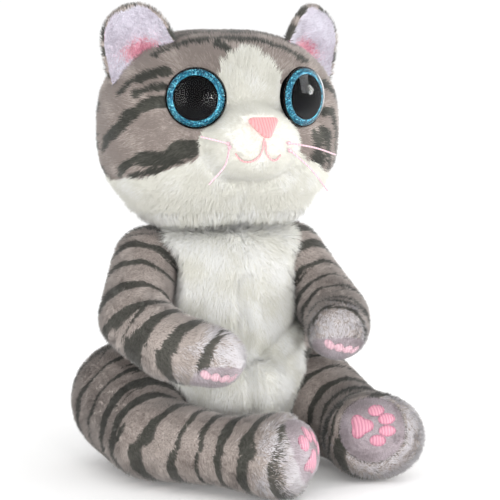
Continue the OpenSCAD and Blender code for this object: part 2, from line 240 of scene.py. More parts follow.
def ring(q):
    """Less than 1 on the muzzle and 1 along the seam round it."""
    return np.sqrt(((q[:, 0] + 0.5) / 21) ** 2 + ((q[:, 2] + 4.0) / 16.5) ** 2)


def muzzle_seam(q):
    """Roughly the distance in mm to the seam round the muzzle."""
    return np.abs(ring(q) - 1) * 18


def cheek_top(x):
    """Height of the white cheeks' upper edge."""
    return np.interp(np.abs(x), [0, 20, 26, 33, 41, 47, 52], [6, -8, -12, -15, -18, -21, -24])


def coat_head(p):
    q = p - HEAD
    x, y, z = q.T
    edge = 0.9 * wobble(p, 5, 20)
    high = z + 2.2
    right = np.interp(high, [4, 8, 13, 19, 24.5, 29.5, 34, 36], [16, 13.8, 11.4, 12.0, 12.8, 9.0, 1.2, -4])
    left = np.interp(high, [4, 11, 16.5, 21.5, 26, 30, 34, 36], [17, 13.8, 15.1, 14.1, 12.1, 9.8, 6.3, -4])
    blaze = (x > -right - edge) & (x < left + edge) & (y < -18) & (z > 0)
    cheek = z < cheek_top(x) + edge
    muzzle = (ring(q) < 1) & (y < -36)
    back = y > 6 + 0.5 * (z + 40)
    zone = np.where((blaze | cheek | muzzle) & ~back, CREAM, GREY)
    paint = strokes(q, FACE_STRIPES)
    behind = bands(z + 0.25 * np.abs(x), p, 31, 13.0, 2.2)
    return zone, np.where(y > 8, behind, paint)


def coat_torso(p):
    x, y, z = p.T
    edge = 1.2 * wobble(p, 7, 21)
    wide = np.interp(z, [8, 18, 26, 34, 50, 62, 76, 90], [0, 22, 28, 30, 29, 30, 31, 31]) + edge
    zone = np.where((np.abs(x) < wide) & (y < -6), CREAM, GREY)
    zone = np.where((z > 96) & (y < -2), CREAM, zone)
    return zone, bands(z - 0.25 * y, p, 32, 11.5, 2.1)


def coat_limb(line, seed, seam, pale=0.0):
    """Rings along a limb, which don't meet at the seam between its two panels.

    The last stretch of the limb, pale mm long, fades to the lighter tone that CREAM stands for here."""
    reach = sum(np.linalg.norm(np.array(b, float) - np.array(a, float)) for a, b in zip(line[:-1], line[1:]))

    def coat(p):
        place = along(line, p)[0]
        side = (p - np.array(line[1], float)) @ np.array(seam, float) > 0
        zone = np.full(len(p), GREY)
        rings = bands(place + np.where(side, 1.2, 0.0), p, seed)
        if pale:
            fade = (place - reach - 6 + pale) / pale
            rings = rings * np.clip(2.2 - 2 * fade, 0, 1)
            fade = fade + 0.25 * wobble(p, 9, seed + 5)
            zone[fade > np.random.default_rng(SEED + seed).uniform(0.2, 0.9, len(p))] = CREAM
        return zone, rings

    return coat


# ---- Meshes ---------------------------------------------------------------------------------


def new_object(name, data):
    obj = bpy.data.objects.new(name, data)
    scene.collection.objects.link(obj)
    return obj


def drop(obj):
    mesh = obj.data
    bpy.data.objects.remove(obj)
    bpy.data.meshes.remove(mesh)


def mesh_from(name, v_mm, faces):
    mesh = bpy.data.meshes.new(name)
    mesh.from_pydata((np.asarray(v_mm) * MM).tolist(), [], [list(map(int, f)) for f in faces])
    mesh.update()
    return mesh


def evaluated(obj):
    """A copy of obj's mesh with its modifiers applied."""
    graph = bpy.context.evaluated_depsgraph_get()
    graph.update()
    return bpy.data.meshes.new_from_object(obj.evaluated_get(graph))


def modified(obj, kind, **settings):
    """The mesh that one modifier makes of obj, which goes."""
    modifier = obj.modifiers.new("shape", kind)
    for key, value in settings.items():
        setattr(modifier, key, value)
    mesh = evaluated(obj)
    drop(obj)
    return mesh


def voxelled(obj, voxel):
    return modified(obj, "REMESH", mode="VOXEL", voxel_size=voxel * MM)


def set_points(mesh, v):
    """Moves a mesh's vertices to v, in mm."""
    mesh.vertices.foreach_set("co", (v * MM).astype(np.float32).ravel())
    mesh.update()


def normals(mesh):
    n = np.empty(len(mesh.vertices) * 3, np.float32)
    mesh.vertices.foreach_get("normal", n)
    return n.reshape(-1, 3)


def arrays(mesh):
    """Vertices in mm, triangles, and the edges of a mesh."""
    v = np.empty(len(mesh.vertices) * 3, np.float32)
    mesh.vertices.foreach_get("co", v)
    mesh.calc_loop_triangles()
    t = np.empty(len(mesh.loop_triangles) * 3, np.int32)
    mesh.loop_triangles.foreach_get("vertices", t)
    e = np.empty(len(mesh.edges) * 2, np.int32)
    mesh.edges.foreach_get("vertices", e)
    return v.reshape(-1, 3).astype(float) / MM, t.reshape(-1, 3), e.reshape(-1, 2)


def relaxed(v, e, times):
    """Vertices moved towards their neighbours' mean, which rounds a stuffed shape."""
    count = np.bincount(e.ravel(), minlength=len(v))[:, None]
    for _ in range(times):
        total = np.zeros_like(v)
        for axis in range(3):
            total[:, axis] = np.bincount(e[:, 0], v[e[:, 1], axis], len(v)) + np.bincount(
                e[:, 1], v[e[:, 0], axis], len(v)
            )
        v = v + 0.5 * (total / np.maximum(count, 1) - v)
    return v


def islands(v, e):
    """A number for each vertex that is shared by all the vertices joined to it."""
    label = np.arange(len(v))
    while True:
        before = label.copy()
        low = np.minimum(label[e[:, 0]], label[e[:, 1]])
        np.minimum.at(label, e[:, 0], low)
        np.minimum.at(label, e[:, 1], low)
        label = label[label]
        if (label == before).all():
            return label


def outermost(mesh):
    """Removes all but the piece of the mesh with the largest reach: a hollow skin's inner wall goes."""
    v, _, e = arrays(mesh)
    label = islands(v, e)
    names = np.unique(label)
    reach = [np.ptp(v[label == n], axis=0).sum() for n in names]
    keep = names[int(np.argmax(reach))]
    bm = bmesh.new()
    bm.from_mesh(mesh)
    bm.verts.ensure_lookup_table()
    bmesh.ops.delete(bm, geom=[bm.verts[i] for i in np.flatnonzero(label != keep)], context="VERTS")
    bm.to_mesh(mesh)
    bm.free()
    return mesh


class Skin:
    """One body's closed skin: its shape, and what the coat needs to know about it."""

    def __init__(self, mesh):
        self.v, self.t, _ = arrays(mesh)
        self.n = normals(mesh).astype(float)
        self.bvh = BVHTree.FromPolygons(self.v.tolist(), self.t.tolist())


FRAMES = 20  # steps of each simulation
SWELL = 1.6  # the most that cloth may move
GROUND = 1.5  # cloth lower than this is held too


def stuffed(mesh, seams, sink):
    """Fills a skin: its seams are held, sink mm deep, while pressure swells the cloth between them."""
    obj = new_object("filling", mesh)
    v = arrays(mesh)[0]
    deep = np.exp(-((seams(v) / 2.6) ** 2)) if seams else np.zeros(len(v))
    start = v - normals(mesh) * deep[:, None] * sink
    set_points(mesh, start)
    group = obj.vertex_groups.new(name="held")
    for i in np.flatnonzero((deep > 0.35) | (v[:, 2] < GROUND)).tolist():
        group.add([i], 1.0, "REPLACE")
    cloth = obj.modifiers.new("filled", "CLOTH")
    s = cloth.settings
    s.quality = 4
    s.mass = 0.2
    s.tension_stiffness = s.compression_stiffness = 12
    s.shear_stiffness = 6
    s.bending_stiffness = 0.4
    s.use_pressure = True
    s.uniform_pressure_force = 4
    s.effector_weights.gravity = 0
    s.vertex_group_mass = "held"
    cloth.collision_settings.use_collision = False
    cloth.point_cache.frame_start, cloth.point_cache.frame_end = 1, FRAMES
    for number in range(1, FRAMES + 1):
        scene.frame_set(number)
    blown = evaluated(obj)
    w = arrays(blown)[0]
    bpy.data.meshes.remove(blown)
    obj.modifiers.remove(cloth)
    scene.frame_set(1)
    move = w - start
    size = np.linalg.norm(move, axis=1, keepdims=True)
    set_points(mesh, start + move * np.minimum(1, SWELL / np.maximum(size, 1e-6)))
    return modified(obj, "SUBSURF", levels=1)


def skin_of(nodes, voxel=2.1, inset=1.0, smooth=8, seams=None, sink=1.8):
    """A smooth closed skin round some CAD nodes, set in a little to leave room for its pile.

    inset is a number of mm, or a function that gives it at each point."""
    bm = bmesh.new()
    for node in nodes:
        bm.from_mesh(frame["nodes"][node].data)
    raw = bpy.data.meshes.new("raw")
    bm.to_mesh(raw)
    bm.free()
    mesh = outermost(voxelled(new_object("raw", raw), voxel))
    v, _, e = arrays(mesh)
    v = relaxed(v, e, smooth)
    set_points(mesh, v)
    set_points(mesh, v - normals(mesh) * (inset(v)[:, None] if callable(inset) else inset))
    return Skin(stuffed(mesh, seams, sink))


CLOTH = 1.0  # thickness of the fabric


def shaded_smooth(mesh):
    mesh.polygons.foreach_set("use_smooth", np.ones(len(mesh.polygons), bool))
    mesh.update()


def panel(name, skin, chosen, coat):
    """The part of a skin whose faces are chosen, as cloth with a thickness, painted with its stripes."""
    faces = skin.t[chosen]
    used = np.unique(faces)
    order = np.full(len(skin.v), -1)
    order[used] = np.arange(len(used))
    flat = new_object(name, mesh_from(name, skin.v[used], order[faces]))
    obj = new_object(name, modified(flat, "SOLIDIFY", thickness=CLOTH * MM, offset=-1))
    v = arrays(obj.data)[0]
    stripe = coat(v)[1] if coat else np.zeros(len(v))
    tone = obj.data.attributes.new("stripe", "FLOAT", "POINT")
    tone.data.foreach_set("value", stripe.astype(np.float32))
    shaded_smooth(obj.data)
    return obj


# ---- Materials ------------------------------------------------------------------------------


def material(name, colour, rough=0.8, **values):
    """A Principled material, and its tree for what is added to it."""
    mat = bpy.data.materials.new(name)
    mat.use_nodes = True
    tree = mat.node_tree
    shader = tree.nodes["Principled BSDF"]
    shader.inputs["Base Color"].default_value = (*colour, 1)
    shader.inputs["Roughness"].default_value = rough
    for key, value in values.items():
        shader.inputs[key.replace("_", " ")].default_value = value
    return mat, tree, shader


def node(tree, kind, **settings):
    made = tree.nodes.new(kind)
    for key, value in settings.items():
        if key.replace("_", " ") in made.inputs:
            made.inputs[key.replace("_", " ")].default_value = value
        else:
            setattr(made, key, value)
    return made


def texture(tree, kind, **settings):
    """A texture in the object's own coordinates."""
    made = node(tree, kind, **settings)
    place = node(tree, "ShaderNodeTexCoord")
    tree.links.new(place.outputs["Object"], made.inputs["Vector"])
    return made


def noise(tree, scale, detail=2.0, rough=0.5):
    return texture(tree, "ShaderNodeTexNoise", Scale=scale, Detail=detail, Roughness=rough).outputs["Fac"]


def ramp(tree, fac, stops):
    made = node(tree, "ShaderNodeValToRGB")
    band = made.color_ramp
    while len(band.elements) < len(stops):
        band.elements.new(0.5)
    for element, (at, colour) in zip(band.elements, stops):
        element.position = at
        element.color = (*colour, 1)
    tree.links.new(fac, made.inputs["Fac"])
    return made.outputs["Color"]


def mixed(tree, fac, a, b):
    made = node(tree, "ShaderNodeMix", data_type="RGBA")
    tree.links.new(fac, made.inputs[0])
    tree.links.new(a, made.inputs[6])
    tree.links.new(b, made.inputs[7])
    return made.outputs[2]


def bumped(tree, shader, height, strength=0.4, distance=0.3):
    bump = node(tree, "ShaderNodeBump", Strength=strength, Distance=distance * MM)
    tree.links.new(height, bump.inputs["Height"])
    tree.links.new(bump.outputs["Normal"], shader.inputs["Normal"])


# Linear colours of the pile. Each tuft takes one of its kind's three shades, dark to light.
SHADES = {
    "taupe": [(0.30, 0.252, 0.228), (0.46, 0.395, 0.36), (0.59, 0.52, 0.48)],
    "stripe": [(0.05, 0.05, 0.042), (0.085, 0.084, 0.07), (0.125, 0.12, 0.105)],
    "milk": [(0.80, 0.79, 0.71), (0.88, 0.875, 0.82), (0.93, 0.93, 0.90)],
    "lilac": [(0.58, 0.53, 0.61), (0.70, 0.66, 0.75), (0.80, 0.77, 0.86)],
    "rose": [(0.62, 0.22, 0.30), (0.80, 0.36, 0.44), (0.90, 0.50, 0.56)],
    "sole": [(0.40, 0.34, 0.36), (0.52, 0.45, 0.48), (0.64, 0.57, 0.61)],
    "pale": [(0.54, 0.50, 0.51), (0.66, 0.62, 0.64), (0.76, 0.73, 0.75)],
}


def backing(name, ground, stripes):
    """Knitted backing under a pile, with stripes where the mesh's attribute says."""
    light, dark = SHADES[ground], SHADES[stripes]
    mat, tree, shader = material(name, light[1], 0.9, Sheen_Weight=0.3)
    grain = noise(tree, 900, 4)
    ground = ramp(tree, grain, [(0.3, light[0]), (0.7, light[1])])
    paint = ramp(tree, grain, [(0.3, dark[0]), (0.7, dark[1])])
    tone = node(tree, "ShaderNodeAttribute", attribute_name="stripe")
    tree.links.new(mixed(tree, tone.outputs["Fac"], ground, paint), shader.inputs["Base Color"])
    bumped(tree, shader, grain, 0.6, 0.4)
    return mat


def pile(name, colour):
    return material(name, colour, 0.75, Sheen_Weight=0.25, Sheen_Roughness=0.5, Specular_IOR_Level=0.25)[0]


MATS = {f"{name}_backing": backing(f"{name}_backing", ground, stripes)
        for name, ground, stripes in (("grey", "taupe", "stripe"), ("cream", "milk", "milk"),
                                      ("lining", "lilac", "rose"), ("sole", "sole", "sole"))}
PILES = {kind: [pile(f"{kind}_pile_{i + 1}", c) for i, c in enumerate(shades)] for kind, shades in SHADES.items()}

# ---- Pile -----------------------------------------------------------------------------------
PILE_FACES = 190_000  # the most faces in one piece
FIBRE = 0.4  # width of one tuft of fibres at its root
LEAST_PILE = 0.5  # shorter tufts are left out
FLOOR = 0.05  # no tuft reaches lower


def scattered(skin, per_mm2, rng):
    """Roots spread evenly over a skin: where they are and which way is out."""
    a, b, c = (skin.v[skin.t[:, i]] for i in range(3))
    area = np.linalg.norm(np.cross(b - a, c - a), axis=1) / 2
    count = int(area.sum() * per_mm2)
    pick = np.searchsorted(np.cumsum(area), rng.uniform(0, area.sum(), count))
    pick = np.minimum(pick, len(area) - 1)
    u, w = rng.uniform(0, 1, (2, count))
    over = u + w > 1
    u[over], w[over] = 1 - u[over], 1 - w[over]
    mix = np.stack([1 - u - w, u, w], 1)[:, :, None]
    corners = skin.t[pick]
    return (skin.v[corners] * mix).sum(1), unit((skin.n[corners] * mix).sum(1))


def room_over(root, out, longest, others):
    """How long a tuft may be at each root before it meets another body's skin."""
    free = np.full(len(root), longest)
    for skin in others:
        low, high = skin.v.min(0) - longest, skin.v.max(0) + longest
        for i in np.flatnonzero(((root > low) & (root < high)).all(1)):
            way = Vector(out[i])
            hit = skin.bvh.ray_cast(Vector(root[i]), way, longest + 1)
            if hit[0] is not None:
                inside = hit[1].dot(way) > 0
                free[i] = 0 if inside else min(free[i], max(0, hit[3] - 0.3))
    return free


def tufts(root, out, comb, length, width, bend, rng):
    """Closed three-sided spikes. Bent ones have a ring half-way up."""
    count = len(root)
    side = unit(np.cross(out, comb) + 1e-6)
    across = unit(np.cross(out, side))
    turn = rng.uniform(0, 2 * math.pi, count)
    lean = unit(out * np.cos(bend)[:, None] + comb * np.sin(bend)[:, None])
    rings = []
    for share, wide, tilt in ((0.0, 1.0, 0.0), (0.55, 0.8, 0.45)):
        middle = root - 0.3 * out * (share == 0) + length[:, None] * share * unit(out * (1 - tilt) + lean * tilt)
        ring = []
        for corner in range(3):
            angle = turn + corner * 2 * math.pi / 3
            arm = side * np.cos(angle)[:, None] + across * np.sin(angle)[:, None]
            ring.append(middle + arm * (width * wide / 2)[:, None])
        rings.append(ring)
    tip = root + length[:, None] * lean
    return rings, tip


def grow(name, body, skin, coat, tones, length, per_mm2, comb, others=(), width=FIBRE, bend=(35, 60), curved=False,
         clump=1.0, light=0.55):
    """Covers part of a skin with pile.

    tones gives the kind of pile for a zone and a stripe, and length its mm at each point, or 0 for none."""
    rng = np.random.default_rng(SEED + sum(map(ord, name)))
    root, out = scattered(skin, per_mm2, rng)
    zone, stripe = coat(root)
    tall = length(root, zone) * rng.uniform(0.82, 1.12, len(root))
    root, out, zone, stripe, tall = (a[tall > LEAST_PILE] for a in (root, out, zone, stripe, tall))
    tall = np.minimum(tall, room_over(root, out, float(tall.max()), others))
    root, out, zone, stripe, tall = (a[tall > LEAST_PILE] for a in (root, out, zone, stripe, tall))
    flow = comb(root)
    flow = flow - out * (flow * out).sum(1, keepdims=True)
    flow = unit(unit(flow) + clump * (0.35 * wobble(root, 7, 51, 3) + 0.25 * wobble(root, 3.2, 52, 3))
                + 0.22 * rng.normal(size=root.shape))
    flow = unit(flow - out * (flow * out).sum(1, keepdims=True))
    lean = np.radians(rng.uniform(*bend, len(root)))
    thick = width * rng.uniform(0.75, 1.2, len(root))
    rings, tip = tufts(root, out, flow, tall, thick, lean, rng)
    dark = stripe > rng.uniform(0.25, 0.75, len(root))
    # light sets which of a kind's three shades the tufts mostly take. The same fabric gets a darker mix on the head
    # and a lighter one on the limbs than on the body: painted shade on the head, painted light on the limbs.
    shade = np.clip((rng.normal(light, 0.2, len(root)) + 0.3 * wobble(root, 12, 53)) * 3, 0, 2.99).astype(int)
    kinds = sorted({tones(z, d) for z in (GREY, CREAM) for d in (False, True)})
    table = np.array([[kinds.index(tones(z, d)) for d in (False, True)] for z in (GREY, CREAM)])
    kind = table[zone, dark.astype(int)]
    slots = [m for k in kinds for m in PILES[k]]
    pieces = []
    per_tuft = 10 if curved else 4
    batch = PILE_FACES // per_tuft
    for number, first in enumerate(range(0, len(root), batch), 1):
        part = slice(first, first + batch)
        corners = [c[part] for c in rings[0]] + ([c[part] for c in rings[1]] if curved else []) + [tip[part]]
        points = np.stack(corners, 1)
        points[:, :, 2] = np.maximum(points[:, :, 2], FLOOR)
        count, each = points.shape[:2]
        if curved:
            shape = [(0, 2, 1)]
            for i in range(3):
                j = (i + 1) % 3
                shape += [(i, j, 3 + j), (i, 3 + j, 3 + i), (3 + i, 3 + j, 6)]
        else:
            shape = [(0, 2, 1), (0, 1, 3), (1, 2, 3), (2, 0, 3)]
        faces = (np.array(shape)[None] + np.arange(count)[:, None, None] * each).reshape(-1, 3)
        mesh = bpy.data.meshes.new(name)
        mesh.vertices.add(count * each)
        mesh.vertices.foreach_set("co", (points * MM).astype(np.float32).ravel())
        mesh.loops.add(len(faces) * 3)
        mesh.loops.foreach_set("vertex_index", faces.astype(np.int32).ravel())
        mesh.polygons.add(len(faces))
        mesh.polygons.foreach_set("loop_start", np.arange(0, len(faces) * 3, 3, dtype=np.int32))
        tone = kind[part] * 3 + shade[part]
        mesh.polygons.foreach_set("material_index", np.repeat(tone, len(shape)).astype(np.int32))
        for m in slots:
            mesh.materials.append(m)
        mesh.update(calc_edges=True)
        mesh.validate()
        shaded_smooth(mesh)
        # Light falls on a coat as a whole, so each tuft's normals lean towards the skin's.
        middle = points.mean(1, keepdims=True)
        own = unit(points - middle)
        soft = unit(own * 0.45 + out[part][:, None, :] * 1.0)
        mesh.normals_split_custom_set_from_vertices(soft.reshape(-1, 3).tolist())
        piece = new_object(f"{name}_{number}", mesh)
        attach(piece, body)
        pieces.append(piece)
    return pieces


def grey_or_cream(zone, dark):
    return "milk" if zone == CREAM else "stripe" if dark else "taupe"


def grey_or_pale(zone, dark):
    return "stripe" if dark else "pale" if zone == CREAM else "taupe"


def from_point(point, pull=(0, 0, 0)):
    """Pile combed away from a point, with a steady pull added."""
    return lambda p: unit(p - np.array(point, float)) + np.array(pull, float)


def straight(way):
    return lambda p: np.tile(np.array(way, float), (len(p), 1))


def down_line(line):
    return lambda p: along(line, p)[1]


# ---- Skins ----------------------------------------------------------------------------------


# Each gives the distance in mm from points to the nearest sewn seam.
def torso_seams(p):
    x, y, z = p.T
    front = np.where((y < 0) & (z < 84), np.abs(x), FAR)
    fold = np.where(y < -20, np.abs(z - 50 - 0.02 * x ** 2), FAR)
    back = np.where(y > 0, np.abs(x), FAR)
    return np.minimum(np.minimum(front, fold), back)


def head_seams(p):
    q = p - HEAD
    x, y, z = q.T
    chin = np.where((z < -18) & (y < 0), np.abs(x), FAR)
    cheek = np.where((y < 2) & (np.abs(x) > 18), np.abs(z - cheek_top(x)), FAR)
    muzzle = np.where(y < -34, muzzle_seam(q), FAR)
    return np.minimum(np.minimum(chin, cheek), muzzle)


def patch_frame(node_name, line):
    """The middle and outward direction of a sewn patch, from its CAD solid."""
    v = arrays(frame["nodes"][node_name].data)[0]
    middle = (v.min(0) + v.max(0)) / 2
    out = np.linalg.svd(v - v.mean(0), full_matrices=False)[2][2]
    if (middle - np.array(line[-1], float)) @ out < 0:
        out = -out
    return v.mean(0), out


# Bare patches of the paws and feet: middle, way out and radius.
patches = {}
for side in SIDES:
    patches[f"arm_{side}"] = (*patch_frame(f"palm_patch_{side}", ARM_LINE[side]), 10.0)
    patches[f"leg_{side}"] = (*patch_frame(f"sole_patch_{side}", LEG_LINE[side]), 13.0)


def from_patch(body, p):
    """How far each point is from the axis of a limb's patch, the patch's radius, and whether it is on that end."""
    middle, out, radius = patches[body]
    d = p - middle
    deep = d @ out
    return np.linalg.norm(d - np.outer(deep, out), axis=1), radius, deep > -6


def patch_seam(body):
    def seam(p):
        apart, radius, at_end = from_patch(body, p)
        return np.where(at_end, np.abs(apart - radius), FAR)

    return seam


def on_patch(body, p, grow_by=0.0):
    apart, radius, at_end = from_patch(body, p)
    return (apart < radius + grow_by) & at_end


TORSO_NODES = ["body_cover", "chest_panel_left", "chest_panel_right", "lap_panel_left", "lap_panel_right"]
HEAD_NODES = ["head_cover", "blaze_panel", "cheek_panel_left", "cheek_panel_right", "muzzle_cover"]

skins = {
    "torso": skin_of(TORSO_NODES, inset=lambda p: np.interp(p[:, 2], [90, 97], [1.0, -0.8]), smooth=4,
                     seams=torso_seams, sink=3.4),
    "neck": skin_of(["neck_sleeve", "neck_stuffing"], inset=0.6),
    "head": skin_of(HEAD_NODES, inset=lambda p: np.interp(p[:, 2] - HEAD[2], [-36, -28], [-0.4, 1.4]), smooth=4,
                    seams=head_seams, sink=1.0),
    "tail": skin_of(["tail_cover", "tail_stuffing"], inset=0.8),
}
for side in SIDES:
    skins[f"arm_{side}"] = skin_of([f"arm_cover_{side}", f"palm_patch_{side}"])
    skins[f"leg_{side}"] = skin_of([f"leg_cover_{side}", f"sole_patch_{side}"], seams=patch_seam(f"leg_{side}"),
                                   sink=1.3)


def creased(body, coat):
    """A limb's coat with painted shade: darker pile in the crease round its bare patch."""
    seam = patch_seam(body)

    def with_crease(p):
        zone, paint = coat(p)
        # Painted shade: about half the pile within 0.8 mm of the patch's seam takes the dark stripe tone.
        return zone, np.maximum(paint, np.where(seam(p) < 0.8, 0.5, 0.0))

    return with_crease


FACE_STRIPES = drawn_on("head", HEAD, TEMPLE + CROWN + LEFT_CHEEK)
coats = {
    "torso": coat_torso,
    "neck": lambda p: (np.where(p[:, 1] < 0, CREAM, GREY), np.zeros(len(p))),
    "head": coat_head,
    "tail": coat_limb(TAIL_LINE, 36, (0, 0, 1)),
    "arm_left": coat_limb(ARM_LINE["left"], 61, (0, 0.3, -1), 10),
    "arm_right": coat_limb(ARM_LINE["right"], 64, (0, 0.3, -1), 20),
    "leg_left": creased("leg_left", coat_limb(LEG_LINE["left"], 67, (0, 0, -1), 15)),
    "leg_right": coat_limb(LEG_LINE["right"], 70, (0, 0, -1), 20),
}


def covered(body, name, chosen, replaced, mat, striped=True):
    """The chosen faces of a body's skin as one padded piece."""
    obj = panel(name, skins[body], chosen, coats[body] if striped else None)
    obj.data.materials.append(MATS[mat])
    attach(obj, body)
    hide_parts(*replaced)
    return obj


def frame_slot(node_name):
    return next(s["material_slot"] for s in frame["record"]["subparts"] if s["node"] == node_name)


def face_zone(body):
    """The zone and the middle of each face of a body's skin."""
    skin = skins[body]
    middle = skin.v[skin.t].mean(1)
    return coats[body](middle)[0], middle


zone, middle = face_zone("torso")
covered("torso", "body_skin", zone == GREY, ["body_cover"], "grey_backing")
for part, height in (("chest", middle[:, 2] > 50), ("lap", middle[:, 2] <= 50)):
    for side, half in (("left", middle[:, 0] > 0), ("right", middle[:, 0] <= 0)):
        covered("torso", f"{part}_skin_{side}", (zone == CREAM) & height & half, [f"{part}_panel_{side}"],
                "cream_backing")

zone, middle = face_zone("head")
place = middle - HEAD
on_muzzle = (zone == CREAM) & (ring(place) < 1) & (place[:, 1] < -36)
on_blaze = (zone == CREAM) & ~on_muzzle & (place[:, 2] > 0)
on_cheek = (zone == CREAM) & ~on_muzzle & ~on_blaze
covered("head", "head_skin", zone == GREY, ["head_cover"], "grey_backing")
covered("head", "blaze_skin", on_blaze, ["blaze_panel"], "cream_backing")
covered("head", "muzzle_skin", on_muzzle, ["muzzle_cover"], "cream_backing")
covered("head", "cheek_skin_left", on_cheek & (middle[:, 0] > 0), ["cheek_panel_left"], "cream_backing")
covered("head", "cheek_skin_right", on_cheek & (middle[:, 0] <= 0), ["cheek_panel_right"], "cream_backing")
for body, node_name, mat, fill in (("neck", "neck_sleeve", "cream", 0.8), ("tail", "tail_cover", "grey", 0.7)):
    covered(body, f"{body}_skin", np.ones(len(skins[body].t), bool), [node_name], f"{mat}_backing")


for side in SIDES:
    for limb, patch in (("arm", "palm_patch"), ("leg", "sole_patch")):
        body = f"{limb}_{side}"
        bare = on_patch(body, face_zone(body)[1])
        covered(body, f"{limb}_skin_{side}", ~bare, [f"{limb}_cover_{side}"], "grey_backing")
        covered(body, f"{patch}_skin_{side}", bare, [f"{patch}_{side}"], "sole_backing", striped=False)

# ---- Pile on each body ----------------------------------------------------------------------
GREY_PILE = 2.8
CREAM_PILE = 3.9
NOSE_TIP = HEAD + (0, -52, 2)
NOSE_HALF = 6.5
EYE_OUT, EYE_UP = 22.7, 13.7  # the middle of an eye, beside and over the head's
EYE_RADIUS = 12.3
MOUTH = [(-11, -51, -7.6), (-8.6, -52.5, -10.4), (-4.6, -53, -10.6), (-1.5, -53.5, -7.6), (-0.5, -53.5, -2),
         (0.5, -53.5, -7.6), (2.8, -53, -10.2), (5.2, -52.5, -10.4), (6.8, -51, -8.4)]


def others(*names):
    return [skins[n] for n in names]


def body_length(p, zone):
    tall = np.where(zone == CREAM, CREAM_PILE, GREY_PILE) * np.where(torso_seams(p) < 1.0, 0.6, 1.0)
    return tall * np.where(p[:, 1] < 0, np.interp(p[:, 2], [88, 98], [1.0, 1.6]), 1.0)


def head_length(p, zone):
    q = p - HEAD
    x, y, z = q.T
    short = np.clip(np.linalg.norm(q - (-0.5, -52, 0), axis=1) / 26, 0.3, 1)
    tall = np.where(zone == CREAM, CREAM_PILE, GREY_PILE) * short
    tall = tall * np.interp(z, [-34, -24], [1.8, 1.0])
    tall = np.where(near_line(MOUTH, q) < 1.3, 0.6, tall)
    tall = np.where((np.abs(x) < NOSE_HALF * np.clip((z + 4) / 9, 0, 1)) & (z < 6.5), 0, tall)
    tall = np.where((muzzle_seam(q) < 1.1) & (y < -34) & (z < 3), tall * 0.55, tall)
    for s in SIDES.values():
        eye = np.linalg.norm(q - (s * EYE_OUT, -36, EYE_UP), axis=1)
        tall = np.where(eye < 12.6, 0, np.where(eye < 15.5, tall * 0.75, tall))
    return tall


def chin_length(p, zone):
    """Long pile along the front lower edge of the head, which falls over the neck."""
    q = p - HEAD
    edge = (q[:, 2] < -31) & (q[:, 2] > -41) & (q[:, 1] < 2)
    return np.where(edge, 6.5, 0.0)


grow("torso_pile", "torso", skins["torso"], coat_torso, grey_or_cream, body_length, 4.6,
     from_point((0, -10, 110), (0, 0, -0.5)),
     others("neck", "head", "tail", "arm_left", "arm_right", "leg_left", "leg_right"), bend=(42, 66), clump=0.6)
grow("neck_pile", "neck", skins["neck"], coats["neck"], grey_or_cream, body_length, 4.6,
     from_point((0, -10, 130)), others("torso", "head"))
# light=0.12 gives the head's pile mostly its darkest shade: painted shade.
grow("head_pile", "head", skins["head"], coat_head, grey_or_cream, head_length, 5.4,
     from_point(NOSE_TIP, (0, 0, -0.15)), others("neck", "torso"), bend=(42, 66), clump=0.7, light=0.12)
grow("chin_pile", "head", skins["head"], lambda p: (np.full(len(p), CREAM), np.zeros(len(p))), grey_or_cream,
     chin_length, 3.4, straight((0, 0, -1)), bend=(25, 60), curved=True, clump=0.8)
grow("tail_pile", "tail", skins["tail"], coats["tail"], grey_or_cream, body_length, 3.5,
     down_line(TAIL_LINE), others("torso"))


def limb_pile(body, line, near, light):
    def length(p, zone):
        return np.where(on_patch(body, p), 0.0, np.where(on_patch(body, p, 1.5), 1.8, GREY_PILE))

    def velvet_length(p, zone):
        return np.where(on_patch(body, p, 0.3), 1.3, 0.0)

    grow(f"{body}_pile", body, skins[body], coats[body], grey_or_pale, length, 5.2, down_line(line), near,
         bend=(40, 64), light=light)
    grow(f"{body}_velvet", body, skins[body], coats[body], lambda z, d: "sole", velvet_length, 8.0, down_line(line),
         others("torso"), bend=(10, 40))


# The limbs' pile takes lighter shades than the body's (0.95 on the arms, 0.7 on the legs): painted light.
for side in SIDES:
    limb_pile(f"arm_{side}", ARM_LINE[side], others("torso", "head"), 0.95)
    limb_pile(f"leg_{side}", LEG_LINE[side], others("torso", "arm_left", "arm_right"), 0.7)

# ---- Moulded and stitched details -----------------------------------------------------------


def lathe(name, profile, at, segments=72):
    """A ring or disc turned from a closed profile of (radius, height) in mm, placed by a matrix."""
    angle = np.linspace(0, 2 * math.pi, segments, endpoint=False)
    profile = np.array(profile, float)
    count = len(profile)
    v = np.stack([np.outer(np.cos(angle), profile[:, 0]), np.outer(np.sin(angle), profile[:, 0]),
                  np.tile(profile[:, 1], (segments, 1))], -1).reshape(-1, 3)
    faces = []
    for i in range(segments):
        j = (i + 1) % segments
        for k in range(count):
            n = (k + 1) % count
            faces.append((i * count + k, j * count + k, j * count + n, i * count + n))
    return finished(name, mesh_from(name, placed(v, at), faces))


def finished(name, mesh):
    """Joins points that meet, drops faces with no area, turns all faces outward and smooths them."""
    bm = bmesh.new()
    bm.from_mesh(mesh)
    bmesh.ops.remove_doubles(bm, verts=bm.verts, dist=1e-7)
    bmesh.ops.dissolve_degenerate(bm, edges=bm.edges, dist=1e-7)
    bmesh.ops.recalc_face_normals(bm, faces=bm.faces)
    bm.to_mesh(mesh)
    bm.free()
    shaded_smooth(mesh)
    return new_object(name, mesh)


def placed(v, at):
    at = np.array(at)
    return v @ at[:3, :3].T + at[:3, 3]


def between_rings(count, n):
    """Faces between each of count rings of n points and the next."""
    return [(k * n + i, k * n + (i + 1) % n, (k + 1) * n + (i + 1) % n, (k + 1) * n + i)
            for k in range(count - 1) for i in range(n)]


def cap(first, n, tip, flip=False):
    """Faces from a ring of n points to one point, turned over for the start of a shape."""
    fan = [(first + i, first + (i + 1) % n, tip) for i in range(n)]
    return [(b, a, c) for a, b, c in fan] if flip else fan


